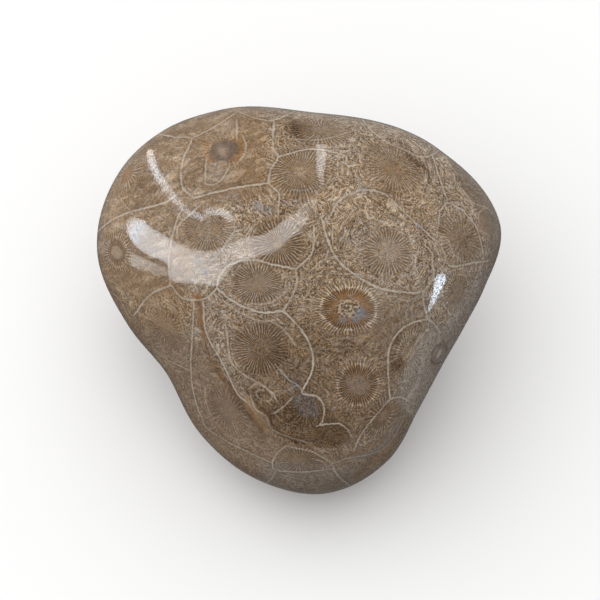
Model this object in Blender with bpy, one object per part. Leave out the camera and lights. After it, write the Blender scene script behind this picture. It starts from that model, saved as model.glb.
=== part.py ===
"""A polished cobble of fossil colonial coral, lying on a small flat spot with its best face up.

The form is worked out in the stone's own face frame, in millimetres: u to the right across the
best face, v up the face and w out of it. It is then leaned back so that the face looks forwards
and upwards, and settled on the flat spot at z = 0. The origin is under the middle of the stone.
"""

import math

import bmesh
import bpy
import numpy as np
from mathutils import Matrix

MM = 0.001

# The outline that the stone shows when it is seen square on to its face: three lobes with a
# shallow waist between each pair, as (direction in degrees from +u towards +v, radius).
OUTLINE = [
    (0, 35.3),
    (18, 40.5),
    (45, 37.4),
    (85, 33.5),
    (115, 37.7),
    (131, 40.5),
    (147, 41.6),
    (170, 39.9),
    (192, 34.5),
    (213, 31.0),
    (236, 34.7),
    (258, 38.2),
    (277, 40.0),
    (296, 37.4),
    (313, 32.7),
    (330, 31.0),
    (346, 32.2),
]

FACE_HEIGHT = 24.0  # from the outline's plane out to the top of the face
BACK_HEIGHT = 28.5  # from the same plane to the deepest point of the back
ROUNDNESS = 2.25  # 2 is an ellipsoid, and more is a squarer pebble
BACK_TAPER = 0.012  # share by which the back deepens for each millimetre up the face

FACE_TILT = 64.0  # degrees that the face's own axis stands above the horizontal

# Flats worn on the pebble, as (direction across the face in degrees, angle away from the face's
# axis in degrees, distance from the centre, softness of the edge).
FACETS = [
    (300, 8, 22.4, 0.8),
    (45, 38, 30.5, 1.6),
    (215, 52, 27.6, 1.4),
    (120, 128, 32.0, 2.6),
    (20, 130, 32.0, 2.6),
]

# Shallow hollows on the face, as (u, v, depth, half-length, half-width, direction of the length
# in degrees).
HOLLOWS = [
    (-25.0, 13.0, 0.5, 9.0, 4.5, -25),
]

REST_HEIGHT = 24.6  # centre of the pebble above the surface that it lies on
REST_SOFTNESS = 0.5  # height over which the flat spot's edge is rounded

CUBE_CUTS = 23  # the pebble starts as a cube whose edges are cut into 24

STONE_COLOUR = (0.21, 0.16, 0.115, 1.0)
POLISH_ROUGHNESS = 0.16


def unit(across, away):
    """The direction at an angle away from the face's axis, towards a direction across the face."""
    a, t = math.radians(across), math.radians(away)
    return np.array([math.sin(t) * math.cos(a), math.sin(t) * math.sin(a), math.cos(t)])


def outline_radius(angles):
    """Radius of the outline at each angle in degrees, on a smooth closed curve through OUTLINE."""
    count = len(OUTLINE)
    at = np.array([a for a, _ in OUTLINE] + [360.0])
    radius = np.array([r for _, r in OUTLINE])
    before, after = np.roll(radius, 1), np.roll(radius, -1)
    gap = np.diff(at)
    slope = (after - before) / (gap + np.roll(gap, 1))
    k = np.clip(np.searchsorted(at, angles, side="right") - 1, 0, count - 1)
    n = (k + 1) % count
    t = (angles - at[k]) / gap[k]
    start, end = slope[k] * gap[k], slope[n] * gap[k]
    return (
        (2 * t**3 - 3 * t**2 + 1) * radius[k]
        + (t**3 - 2 * t**2 + t) * start
        + (3 * t**2 - 2 * t**3) * radius[n]
        + (t**3 - t**2) * end
    )


def pebble(directions):
    """The unworn pebble's surface in each direction: the outline, rounded to front and back."""
    u, v, w = directions.T
    reach = outline_radius(np.degrees(np.arctan2(v, u)) % 360)
    height = np.where(w > 0, FACE_HEIGHT, BACK_HEIGHT)
    gauge = (np.hypot(u, v) / reach) ** ROUNDNESS + (np.abs(w) / height) ** ROUNDNESS
    points = directions * gauge[:, None] ** (-1 / ROUNDNESS)
    points[:, 2] *= np.where(w > 0, 1, 1 + BACK_TAPER * points[:, 1])
    return points


def wear_flat(points, across, away, distance, softness):
    """Grinds the pebble down to a plane, with a soft edge."""
    normal = unit(across, away)
    proud = (points @ normal - distance) / softness
    left = -np.logaddexp(0, -proud)
    return points + np.outer((left - proud) * softness, normal)


def wear_hollow(points, u, v, depth, half_length, half_width, turn):
    """Lowers a long shallow dish in the face."""
    c, s = math.cos(math.radians(turn)), math.sin(math.radians(turn))
    du, dv = points[:, 0] - u, points[:, 1] - v
    along, aside = (c * du + s * dv) / half_length, (c * dv - s * du) / half_width
    front = 1 / (1 + np.exp(-points[:, 2] / 2))
    lowered = points.copy()
    lowered[:, 2] -= depth * np.exp(-(along**2 + aside**2) / 2) * front
    return lowered


def settle(points):
    """Flattens what would be below z = 0, with a small round where the flat spot begins."""
    z = points[:, 2]
    eased = (z + REST_SOFTNESS) ** 2 / (4 * REST_SOFTNESS)
    settled = points.copy()
    settled[:, 2] = np.where(z > REST_SOFTNESS, z, np.where(z < -REST_SOFTNESS, 0.0, eased))
    return settled


def stone_points(directions):
    """The finished surface in each direction, in the row frame and in millimetres."""
    points = pebble(directions)
    for facet in FACETS:
        points = wear_flat(points, *facet)
    for hollow in HOLLOWS:
        points = wear_hollow(points, *hollow)
    lean = Matrix.Rotation(math.radians(90 - FACE_TILT), 3, "X")
    points = points @ np.array(lean).T
    points[:, 2] += REST_HEIGHT
    points = settle(points)
    middle = (points.min(axis=0) + points.max(axis=0)) / 2
    points[:, :2] -= middle[:2]
    return points


def material():
    """The polished stone's plain colour."""
    made = bpy.data.materials.new("polished_coral")
    made.use_nodes = True
    shader = made.node_tree.nodes["Principled BSDF"]
    shader.inputs["Base Color"].default_value = STONE_COLOUR
    shader.inputs["Roughness"].default_value = POLISH_ROUGHNESS
    shader.inputs["Metallic"].default_value = 0.0
    return made


def make_stone(collection):
    """One closed body: a finely cut cube, each point of it moved out to the stone's surface."""
    shape = bmesh.new()
    bmesh.ops.create_cube(shape, size=2.0)
    bmesh.ops.subdivide_edges(shape, edges=shape.edges[:], cuts=CUBE_CUTS, use_grid_fill=True)
    # Equal angles along each cube edge, and not equal lengths, keep the faces alike in size.
    grid = np.tan(np.array([p.co for p in shape.verts]) * math.pi / 4)
    directions = grid / np.linalg.norm(grid, axis=1)[:, None]
    for vertex, point in zip(shape.verts, stone_points(directions)):
        vertex.co = point * MM
    bmesh.ops.recalc_face_normals(shape, faces=shape.faces[:])
    mesh = bpy.data.meshes.new("polished_coral")
    shape.to_mesh(mesh)
    shape.free()
    mesh.shade_smooth()
    mesh.materials.append(material())
    collection.objects.link(bpy.data.objects.new("polished_coral", mesh))


def main():
    for old in list(bpy.data.objects):
        bpy.data.objects.remove(old)
    collection = bpy.data.collections.new("polished_fossil_coral")
    bpy.context.scene.collection.children.link(collection)
    make_stone(collection)


main()
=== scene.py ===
"""The looks of a polished cobble of fossil colonial coral, lying with its best face up.

The stone is drawn again from the formulas of its solid, finely enough for a polish. Its pattern
of rosettes, cell walls and stains is laid out in the photograph's 600 x 600 frame, cast on to the
surface from the camera, and kept on the mesh as attributes: where each point lies in the nearest
rosette, how far it is from the nearest wall, and how stained it is, a darkness that on the flanks
and rims is painted shade and painted light. Zones there also lay a painted reflection, a grey
veil, over the stone. One procedural material turns these into plates, walls, grain and polish.
Past the photograph's view the pattern is grown.
"""

import math
from types import SimpleNamespace

import bmesh
import bpy
import numpy as np
from mathutils import Matrix, Vector
from mathutils.bvhtree import BVHTree
from mathutils.kdtree import KDTree


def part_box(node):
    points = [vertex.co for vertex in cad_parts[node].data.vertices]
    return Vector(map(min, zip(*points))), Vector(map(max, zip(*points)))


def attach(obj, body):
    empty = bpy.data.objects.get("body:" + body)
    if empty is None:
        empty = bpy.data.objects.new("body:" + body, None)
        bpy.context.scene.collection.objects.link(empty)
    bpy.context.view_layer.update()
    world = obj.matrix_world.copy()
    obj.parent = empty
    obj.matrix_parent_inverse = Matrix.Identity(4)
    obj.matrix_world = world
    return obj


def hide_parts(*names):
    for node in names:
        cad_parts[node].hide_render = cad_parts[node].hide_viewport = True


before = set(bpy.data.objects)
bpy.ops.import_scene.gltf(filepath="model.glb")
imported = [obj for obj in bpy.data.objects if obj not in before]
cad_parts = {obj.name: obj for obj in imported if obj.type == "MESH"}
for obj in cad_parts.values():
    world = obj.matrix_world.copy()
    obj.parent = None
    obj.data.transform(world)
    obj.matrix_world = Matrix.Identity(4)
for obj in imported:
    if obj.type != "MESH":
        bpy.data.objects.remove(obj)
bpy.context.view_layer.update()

MM = 0.001

# The stone's form, in millimetres and in its own face frame: u to the right across the best
# face, v up it and w out of it. The values and formulas are those of the solid.
OUTLINE = [
    (0, 35.3), (18, 40.5), (45, 37.4), (85, 33.5), (115, 37.7), (131, 40.5), (147, 41.6), (170, 39.9),
    (192, 34.5), (213, 31.0), (236, 34.7), (258, 38.2), (277, 40.0), (296, 37.4), (313, 32.7),
    (330, 31.0), (346, 32.2),
]  # (direction in degrees, radius)
FACE_HEIGHT = 24.0
BACK_HEIGHT = 28.5
ROUNDNESS = 2.25
BACK_TAPER = 0.012
FACE_TILT = 64.0
FACETS = [
    (300, 8, 22.4, 0.8),
    (45, 38, 30.5, 1.6),
    (215, 52, 27.6, 1.4),
    (120, 128, 32.0, 2.6),
    (20, 130, 32.0, 2.6),
]
HOLLOWS = [(-25.0, 13.0, 0.5, 9.0, 4.5, -25)]
REST_HEIGHT = 24.6
REST_SOFTNESS = 0.5
CUBE_CUTS = 119  # a cube whose edges are cut into 120: 172,800 triangles

# The photograph: where the pebble's centre shows, the scale there, and how far the camera is.
PHOTO_SIDE = 600
CENTRE_PX = (301.5, 286.5)
PX_PER_MM = 5.2
CAMERA_DISTANCE = 550.0
SENSOR_WIDTH = 36.0

TILT = math.radians(FACE_TILT)
RIGHT = np.array([1.0, 0.0, 0.0])
UP = np.array([0.0, math.sin(TILT), math.cos(TILT)])
OUT = np.array([0.0, -math.cos(TILT), math.sin(TILT)])


def unit(across, away):
    """The direction at an angle away from the face's axis, towards a direction across the face."""
    a, t = math.radians(across), math.radians(away)
    return np.array([math.sin(t) * math.cos(a), math.sin(t) * math.sin(a), math.cos(t)])


def smooth_between(t, start, end, pull_start, pull_end):
    """Where a smooth curve is at the share t of its way between two places, given its pull at each."""
    return (
        (2 * t**3 - 3 * t**2 + 1) * start
        + (t**3 - 2 * t**2 + t) * pull_start
        + (3 * t**2 - 2 * t**3) * end
        + (t**3 - t**2) * pull_end
    )


def outline_radius(angles):
    """Radius of the outline at each angle in degrees, on a smooth closed curve through OUTLINE."""
    count = len(OUTLINE)
    at = np.array([a for a, _ in OUTLINE] + [360.0])
    radius = np.array([r for _, r in OUTLINE])
    gap = np.diff(at)
    slope = (np.roll(radius, -1) - np.roll(radius, 1)) / (gap + np.roll(gap, 1))
    k = np.clip(np.searchsorted(at, angles, side="right") - 1, 0, count - 1)
    n = (k + 1) % count
    t = (angles - at[k]) / gap[k]
    return smooth_between(t, radius[k], radius[n], slope[k] * gap[k], slope[n] * gap[k])


def pebble(directions):
    """The unworn pebble's surface in each direction: the outline, rounded to front and back."""
    u, v, w = directions.T
    reach = outline_radius(np.degrees(np.arctan2(v, u)) % 360)
    height = np.where(w > 0, FACE_HEIGHT, BACK_HEIGHT)
    gauge = (np.hypot(u, v) / reach) ** ROUNDNESS + (np.abs(w) / height) ** ROUNDNESS
    points = directions * gauge[:, None] ** (-1 / ROUNDNESS)
    points[:, 2] *= np.where(w > 0, 1, 1 + BACK_TAPER * points[:, 1])
    return points


def wear_flat(points, across, away, distance, softness):
    """Grinds the pebble down to a plane, with a soft edge."""
    normal = unit(across, away)
    proud = (points @ normal - distance) / softness
    left = -np.logaddexp(0, -proud)
    return points + np.outer((left - proud) * softness, normal)


def wear_hollow(points, u, v, depth, half_length, half_width, turn):
    """Lowers a long shallow dish in the face."""
    c, s = math.cos(math.radians(turn)), math.sin(math.radians(turn))
    du, dv = points[:, 0] - u, points[:, 1] - v
    along, aside = (c * du + s * dv) / half_length, (c * dv - s * du) / half_width
    front = 1 / (1 + np.exp(-points[:, 2] / 2))
    lowered = points.copy()
    lowered[:, 2] -= depth * np.exp(-(along**2 + aside**2) / 2) * front
    return lowered


def settle(points):
    """Flattens what would be below z = 0, with a small round where the flat spot begins."""
    z = points[:, 2]
    eased = (z + REST_SOFTNESS) ** 2 / (4 * REST_SOFTNESS)
    settled = points.copy()
    settled[:, 2] = np.where(z > REST_SOFTNESS, z, np.where(z < -REST_SOFTNESS, 0.0, eased))
    return settled


def leaned_points(directions):
    """The surface in each direction, leaned back and settled, with the pebble's centre at x = y = 0."""
    points = pebble(directions)
    for facet in FACETS:
        points = wear_flat(points, *facet)
    for hollow in HOLLOWS:
        points = wear_hollow(points, *hollow)
    lean = Matrix.Rotation(math.radians(90 - FACE_TILT), 3, "X")
    points = points @ np.array(lean).T
    points[:, 2] += REST_HEIGHT
    return settle(points)


def cube_grid():
    """A finely cut cube, as a bmesh, with its points' places on the cube from -1 to 1."""
    shape = bmesh.new()
    bmesh.ops.create_cube(shape, size=2.0)
    bmesh.ops.subdivide_edges(shape, edges=shape.edges[:], cuts=CUBE_CUTS, use_grid_fill=True)
    return shape, np.array([p.co for p in shape.verts])


def bake_map(mesh, corners):
    """Lays the cube's six sides out as tiles, three across and two up, as a map for baking."""
    gutter = 0.012  # as a share of a tile
    middle = corners.mean(axis=1)
    axis = np.abs(middle).argmax(axis=1)
    rows = np.arange(len(axis))
    upper = middle[rows, axis] > 0
    across = corners[rows, :, (axis + 1) % 3]
    along = corners[rows, :, (axis + 2) % 3]
    tile = np.stack([across, along], axis=2) / 2 + 0.5
    tile = gutter + tile * (1 - 2 * gutter)
    tile[..., 0] = (tile[..., 0] + axis[:, None]) / 3
    tile[..., 1] = (tile[..., 1] + upper[:, None]) / 2
    layer = mesh.uv_layers.new(name="OFBake")
    layer.data.foreach_set("uv", tile.reshape(-1).astype(np.float32))


class Stone:
    """The fine mesh, with what the pattern has to know of it, in millimetres."""

    def __init__(self):
        shape, cube = cube_grid()
        grid = np.tan(cube * math.pi / 4)
        directions = grid / np.linalg.norm(grid, axis=1)[:, None]
        points = leaned_points(directions)
        box = np.array([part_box("polished_coral")]).reshape(2, 3) / MM
        middle = (points.min(axis=0) + points.max(axis=0)) / 2
        self.centre = np.append(box.mean(axis=0)[:2] - middle[:2], 0.0)
        points += self.centre
        self.centre[2] = REST_HEIGHT
        for vertex, point in zip(shape.verts, points):
            vertex.co = point * MM
        bmesh.ops.recalc_face_normals(shape, faces=shape.faces[:])
        self.mesh = bpy.data.meshes.new("coral_stone")
        shape.to_mesh(self.mesh)
        shape.free()
        self.mesh.shade_smooth()
        corner_points = np.empty(len(self.mesh.loops), np.int32)
        self.mesh.loops.foreach_get("vertex_index", corner_points)
        self.corners = points[corner_points].reshape(-1, 4, 3)
        self.middles = self.corners.mean(axis=1)
        normals = np.empty(len(self.mesh.polygons) * 3, np.float32)
        self.mesh.polygons.foreach_get("normal", normals)
        self.normals = normals.reshape(-1, 3).astype(float)
        bake_map(self.mesh, cube[corner_points].reshape(-1, 4, 3))
        faces = corner_points.reshape(-1, 4).tolist()
        self.tree = BVHTree.FromPolygons([Vector(p) for p in points], faces)
        aside = (PHOTO_SIDE / 2 - CENTRE_PX[0]) / PX_PER_MM
        lift = (CENTRE_PX[1] - PHOTO_SIDE / 2) / PX_PER_MM
        self.camera = self.centre + RIGHT * aside + UP * lift + OUT * CAMERA_DISTANCE

    def cast(self, px, py):
        """The point and normal that the photograph shows at a pixel, or None past the outline."""
        u = (px - PHOTO_SIDE / 2) / PX_PER_MM
        v = (PHOTO_SIDE / 2 - py) / PX_PER_MM
        ray = Vector(RIGHT * u + UP * v - OUT * CAMERA_DISTANCE).normalized()
        place, normal, _, _ = self.tree.ray_cast(Vector(self.camera), ray)
        if place is None:
            return None
        return np.array(place), np.array(normal)

    def pixels(self, places):
        """Where places show in the photograph."""
        away = places - self.camera
        scale = PX_PER_MM * CAMERA_DISTANCE / -(away @ OUT)
        offset = np.stack([away @ RIGHT, -(away @ UP)], axis=-1)
        return PHOTO_SIDE / 2 + offset * scale[..., None]

    def facing(self):
        """How squarely each face looks at the camera, from 1 to -1."""
        to_camera = self.camera - self.middles
        to_camera /= np.linalg.norm(to_camera, axis=1)[:, None]
        return (self.normals * to_camera).sum(axis=1)

    def keep(self, name, values):
        """Stores three numbers for each face corner under an attribute's name."""
        attribute = self.mesh.attributes.new(name, "FLOAT_VECTOR", "CORNER")
        attribute.data.foreach_set("vector", values.reshape(-1).astype(np.float32))


def pixel(word):
    """A pixel that is written as "x,y"."""
    x, y = word.split(",")
    return float(x), float(y)


def table(text, end="\n"):
    """Rows of plain numbers and then pixels, from a text: each row's numbers and its list of pixels."""
    found = []
    for row in text.strip().split(end):
        words = row.split()
        numbers = [float(word) for word in words if "," not in word]
        found.append((*numbers, [pixel(word) for word in words if "," in word]))
    return found


# The coral's rosettes, one for each animal, at the photograph's pixels. Lengths are in
# millimetres on the stone. A rosette that is left at a default is a plain one.
PLAIN = {
    "core": 1.7,  # radius of the middle, inside the plates
    "tone": 0.0,  # lighter (+) or darker (-) than the stone round it
    "plain": 0.55,  # how smooth and even the middle is
    "lilac": 0.0,  # share of lilac grey in a plain middle, in place of pinkish brown
    "specks": 0.0,  # how full the middle is of cream and dark specks
    "reach": 5.6,  # radius to which the plates run
    "plates": 42,
    "contrast": 0.85,  # how clearly the plates show
    "ring": 4.4,  # radius of a pale or rusty ring
    "halo": 0.0,  # how pale the ring is
    "rust": 0.0,  # how rusty the stone is between the middle and the ring
    "long": 1.0,  # stretch along the direction in turn, and squeeze across it
    "turn": 0.0,  # degrees from the photograph's right, towards its top
}
ROSETTES = [
    dict(at=(348.5, 308.5), core=2.2, plain=0, specks=1, reach=6.3, plates=60, contrast=0.8, ring=4.6,
         halo=0.75, rust=1, long=1.28),
    dict(at=(358, 385), core=1.9, tone=0.12, plain=0.5, lilac=0.35, reach=4.9, plates=48, ring=3.9,
         halo=0.6, rust=0.25),
    dict(at=(260, 349), plain=0.4, reach=5.4, plates=47, contrast=0.95, tone=-0.08),
    dict(at=(388, 252), core=2.2, plain=0.35, reach=4.9, contrast=0.8, tone=-0.08),
    dict(at=(257, 284), core=1.6, plain=0.8, reach=4.5, plates=46, contrast=0.95, long=1.25),
    dict(at=(207, 229), core=1.9, reach=5.2, plates=48, contrast=0.6, long=1.15, turn=10, ring=4.6,
         halo=0.2),
    dict(at=(278.5, 244), core=0.8, plain=0.2, reach=5.2, plates=40, contrast=1),
    dict(at=(116.5, 252.5), core=1.5, tone=0.4, plain=0.8, reach=4.6, plates=38, contrast=1.1, ring=3,
         halo=0.6, rust=0.45, long=1.15, turn=40),
    dict(at=(224.5, 150), core=2.6, tone=-0.36, plain=0.9, lilac=0.6, reach=5.2, plates=34, contrast=0.3,
         ring=3.5, halo=0.35, rust=0.15, long=1.1),
    dict(at=(127.5, 173), core=0.8, plain=0.2, reach=4.4, plates=32, contrast=1.1, rust=0.8, ring=2.3,
         long=1.25, turn=45, halo=0.3),
    dict(at=(320, 130), core=1.4, contrast=0.7, long=1.3),
    dict(at=(300, 172), core=1.2, plain=0.2, reach=6, plates=48, contrast=0.75),
    dict(at=(394, 168), core=2.4, reach=6.4, plates=46, contrast=0.55, tone=-0.1),
    dict(at=(461, 240), core=2.7, tone=-0.28, plain=0.3, plates=38, contrast=0.5),
    dict(at=(485.5, 222), core=2.2, plain=0.8, reach=3.6, plates=30, contrast=0.2, long=1.2, turn=75),
    dict(at=(457.5, 290), core=1.9, plain=0.7, reach=4, plates=36, contrast=0.6, ring=3, halo=0.35,
         long=1.2, turn=80),
    dict(at=(439, 354), core=0.8, tone=0.7, plain=0.8, lilac=0.3, reach=3.6, plates=30, contrast=0.2,
         long=1.6, turn=62),
    dict(at=(409, 352), core=1.2, reach=5, plates=38, contrast=0.5, ring=3, halo=0.3, long=1.35, turn=62),
    dict(at=(383, 416), core=1, reach=4, plates=30, rust=0.4, halo=0.3, ring=2.6, long=1.5, turn=52),
    dict(at=(307, 406), core=2.4, plain=0, lilac=1, reach=4.6, plates=34, contrast=0.5, long=1.45,
         turn=-50),
    dict(at=(330, 434), core=1.2, plain=0.3, tone=-0.2, reach=3.8, plates=40, contrast=0.5, long=1.5),
    dict(at=(299.5, 460), core=1.3, reach=4.2, plates=36, long=1.35),
    dict(at=(228, 412), core=2, plain=0.8, plates=34, contrast=0.6, tone=0.04),
    dict(at=(166, 328), core=1.5, plain=0.7, reach=4.6, plates=32, contrast=0.6, rust=0.1),
    dict(at=(262.5, 394), core=1.2, plain=0, tone=0.1, reach=2.8, plates=14, contrast=0.3, rust=0.3, ring=2,
         halo=0.3, long=1.3, turn=-30),
    dict(at=(345, 482), core=1.6, plain=0.8, reach=4.6, plates=34, contrast=0.3),
]

# The walls between cells: strength, share of blue-grey crystal in place of cream, and the
# photograph's pixels that the line runs through.
WALLS = table("""
0.8 0 235,110 255,118 274,120 297,110
0.7 0 237,112 214,127 191,139
0.7 0 158,134 175,137 191,139 184,157 181,172 183,188 194,198
0.7 0 274,120 273,146 278,157 271,169 269,183 279,194 278,211
0.8 0 278,157 304,150 324,150 345,156 346,162 348,166 356,165
0.9 0 194,198 217,192 240,187 269,183
0.9 0 98,231 112,220 130,212 164,203 176,195
0.45 0 121,199 126,206 132,213
0.6 0 177,236 179,225 192,213 200,205
0.6 0 180,213 175,226 169,256 170,284
0.9 0 171,285 150,295 135,314
0.9 0 171,285 182,298 196,300 207,298 217,288
1 0 217,288 220,275 233,263 254,260 275,265 296,269
1 0 217,288 234,302 260,312 283,311
0.9 0 296,269 297,280 295,289 290,300 283,311
0.8 0 296,269 310,256 314,243 314,230
1 0 283,311 293,320 302,331 309,343 313,358 311,374 302,391
1 0 203,303 205,328 212,345 222,362 237,393 244,400
0.7 0 227,334 230,359 238,370 246,376 262,385 272,393 276,399
0.8 0 194,303 192,342 191,371 195,399 205,427
0.6 0 150,349 170,361 191,371
0.6 0 205,427 226,441 248,452 272,463
0.8 0 272,463 277,453 286,446
0.6 0 286,446 300,449 313,452 332,463
0.7 0 272,463 276,470 304,472 331,469
0.6 0 276,470 272,478 266,483
0.7 0.4 331,465 345,459 361,456 380,451 390,442 397,432 403,420
0.7 0 332,463 338,476 350,486
0.8 0 302,391 303,394 318,397 324,408 323,419 320,425
0.75 0 320,425 329,424 340,424 347,429 351,435
0.85 0 355,448 362,433 373,419 390,399
1 0 390,399 388,371 389,351 393,340 402,329 415,322 428,319
0.7 0 428,319 434,324 439,331
0.6 0 428,319 424,305 424,291
0.8 0 390,399 400,397 408,401
1 0 323,222 325,232 328,241 335,256 346,268 365,281 383,289 411,293 424,291
0.8 0.3 330,216 335,207 341,199 352,193 363,190 375,191 386,195 403,211 419,226 430,236 439,243
0.7 0 429,249 433,255 432,262 434,273 432,280 424,291
0.45 0 440,245 445,255 444,265 440,268
0.5 0 449,242 453,253 461,260 465,262
0.65 0 437.5,234 438,227 440,212 447,201 444,192 436,166 433,157
0.7 0 361,118 372,131 389,143 405,150 419,157
0.7 0 447,202 461,209 470,219 476,226 481,242 484,260
0.9 0 450,266 458,266 468,264 487,261
0.5 0 480,267 473,287 466,303 457,317 459,325 466,323
0.5 0 293,139 310,140 324,139 349,132
0.6 0.9 293,190 305,190 313,188 327,183
0.5 0.3 327,183 338,176 345,178
0.6 0 109,291 118,298 126,311
0.5 0 419,157 430,156 440,150
0.5 0 460,186 472,202 486,207
0.4 0 479,222 479,214 486,208 492,213
0.4 1 390,216 398,220 406,225
0.45 0 246,304 258,304 269,303 279,298 285,291 286,283
0.5 0 269,320 281,327 290,337 294,343
0.35 0 222,300 240,313 262,321 276,320
0.5 0 237,121 237,138
0.5 0 206,161 205,184
0.45 0 250,388 256,384 266,388 272,396 268,401 259,398 256,392 262,390
0.5 0 276,412 284,406 291,399
0.45 0 250,393 255.5,409 266.5,417 272,429 289,437 306,442
0.4 0.3 380,436 391,424 398,418 406,416
0.75 0.4 303,391 296,384 288,379 281,371
0.5 0.4 297,385 290,389
0.5 0 205,184 214,184.5 222,179 228,169
0.45 0.8 219,201 226,201 229,196 236,197 240,203
0.8 0.25 222,249 228,241 233,233 240,230
0.5 0.2 424,325 421,333 416,343
0.45 0 243,137 246,145 244,155 237,164
0.7 0 284.5,475.5 288,476.5 291.5,477.5
0.55 0 317.5,460 321,461
0.35 0 205,389 205,397 207,405 210,413
""")

# Where walls leave the photograph's view, as pixels on the outline, clockwise from the left.
RIM_WALLS = (
    "98,231 158,134 235,110 297,109 361,117 442,149 492,207 488,262 470,322 408,415 "
    "350,488 266,484 205,427 150,349 109,291"
)
HIDDEN_SEED = 11
HIDDEN_TRIES = 4000  # random places, from which the middles of the cells past the view are chosen
HIDDEN_DEPTH = -0.2  # the directions of these places point at least so far back
HIDDEN_CHANCE = 2.5  # by how many millimetres a place may be preferred by chance
HIDDEN_SPACING = 15.5  # between the middles of neighbouring cells there
HIDDEN_HALF = 7.8  # half the width of such a cell
HIDDEN_WALL = 0.75  # strength of the walls between them
# Past the view the third share greys the stone a little: a painted reflection veil.
HIDDEN_ZONE = (0.25, 0.0, 0.1, 0.0, 0.1)  # how calm, ochre, hazy, dark and smeared the stone is there
SHOWN_WITHIN = 11.0  # a cell at the outline whose middle is as near to a drawn rosette has that one
ROSETTE_GAP = 2.5  # from a rosette's reach to where the stone belongs to its neighbour
RIM_SOFTNESS = 0.12  # how squarely a face looks at the camera where the photograph's areas are full
WALL_REACH = 2.0  # millimetres from a wall within which the distance from it is kept
CRACK_REACH = 1.5  # and from a crack
BIT_OVERLAP = 0.3  # how far each straight bit of a line reaches past its ends

# Fine cracks: rust, darkness, half-width in mm, and pixels.
CRACKS = table("""
0.1 0.85 0.34 444.5,344.5 446.9,349.5 444.6,357.3 439.1,363.1 433.5,363.5 431.1,358.5 433.4,350.8 \
438.9,345 444.5,344.5
1 0.4 0.5 198.5,299 200,310 201,322 204,336
0.7 0.8 0.24 204,336 208,352 216,368 225,382
0.3 0.6 0.15 207,338 213,355 221,371 230,386
0.9 0.4 0.42 223,378 230,388 238,398 247,406 254,415
0 0.7 0.18 370,198 381,205 392,214 404,221 412,224
0 0.7 0.16 346,241 351,238 355,232 361,225 371,221
0 0.6 0.2 409,156 418,162 425,168 429,176
0.1 0.9 0.34 247,391 254,400 260,407 268,414 272,425 279,432 292,438 303,441
""")

# Soft stains along lines and round pixels: rust, darkness, blueness, half-width in mm, and pixels.
STREAKS = table("""
0 -0.2 0.5 0.45 358,458 373,452 384.5,443 395.5,427
0.9 0.1 0 0.42 207,144 205.5,152 208,160
1 0.1 0 0.5 239,138 241.5,146 240.5,153 236,160
0 0.45 0 0.8 289,110 292,120 297,134 305,143
0 0.3 0 0.5 303,391 296,384 288,380
0.4 0.45 0 0.9 214,366 224,380 234,394 243,407 252,419 262,430
0.2 0.5 0 1.1 266,424 278,433 292,440 308,445
0 0.6 0 0.8 411,158 419,164 427,171
0.1 -0.4 0 0.5 205,388 206,400 209,412
0 -0.7 0 0.32 406,357 412,349 419,339 426,331
0 -0.6 0 0.28 409,360 416,350 422,343
0 -0.6 0 0.28 403,352 408,343 414,334
0 -0.35 0.2 0.5 424,358 422,372 416,386 408,398
0 -0.3 0.1 0.5 430,336 424,350 422,360
0 0.4 0 0.5 398,338 394,352 396,366
0.7 -0.1 0 0.8 197,298 200,308 201,322
0.35 0.1 0 0.6 200,322 203,338
0.25 0.3 0 0.7 205,335 213,358 224,377 236,392
0.1 -0.25 0 0.4 271,431 284,439 293,444 311,451 325,456 334,461
""")
STAINS = table("""
0.15 0.65 0 1.8 439,354
0 -1.7 0 0.8 439,354
0.1 -0.6 0 0.8 257,388
0.1 -0.7 0 0.9 266,398
0 -0.6 0 0.6 273,394
0 -0.7 0 0.7 411,396
0.1 -0.9 0 0.8 221.5,150
0.1 -0.6 0 0.6 225,155
0.5 0 0 0.8 353,368
0.35 0 0 0.7 361,371
0 -0.2 0 5 358,385
0 0.05 0 6 412,165
0 -0.22 0 5 388,252
0 -0.08 0 6.5 349,308
0 0.2 0.15 1.9 217,172
0 -0.25 0 0.9 223.5,150
0.2 0.9 0 1.1 399,366
0.4 -0.05 0 1.1 128,173
0.45 0 0 0.9 109,237
0.45 0 0 0.9 122,238
0.5 0 0 1 199,300
0.4 0 0 0.8 170,284
0 0.35 0 2.4 291,129
0 0.2 0 2.6 304,128
0.12 0.1 0 3 170,318
0.2 0 0 2.6 290,352
0.45 0 0 2.2 383,456
0.4 0 0 1.8 396,448
0 -0.15 0 8 352,195
0 0.35 0 2.5 462,238
0 -0.55 0 1.1 441,239
0 -0.6 0 0.5 288,476
0.3 -0.1 0 1 127,172
0 0 0.5 0.7 200,305
0 0 0.6 0.9 258,206
0 0 0.4 0.9 268,211
0 0 0.5 1 363,189
0 0 0.5 0.8 420,227
0 0 1 0.7 355.5,319
0 0 1 0.9 361,312
0 0 0.7 0.7 343.5,320
0 0 0.3 1.1 294,385
0 0 0.5 0.8 197,262
0 0 0.5 0.8 204,270
""")
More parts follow.
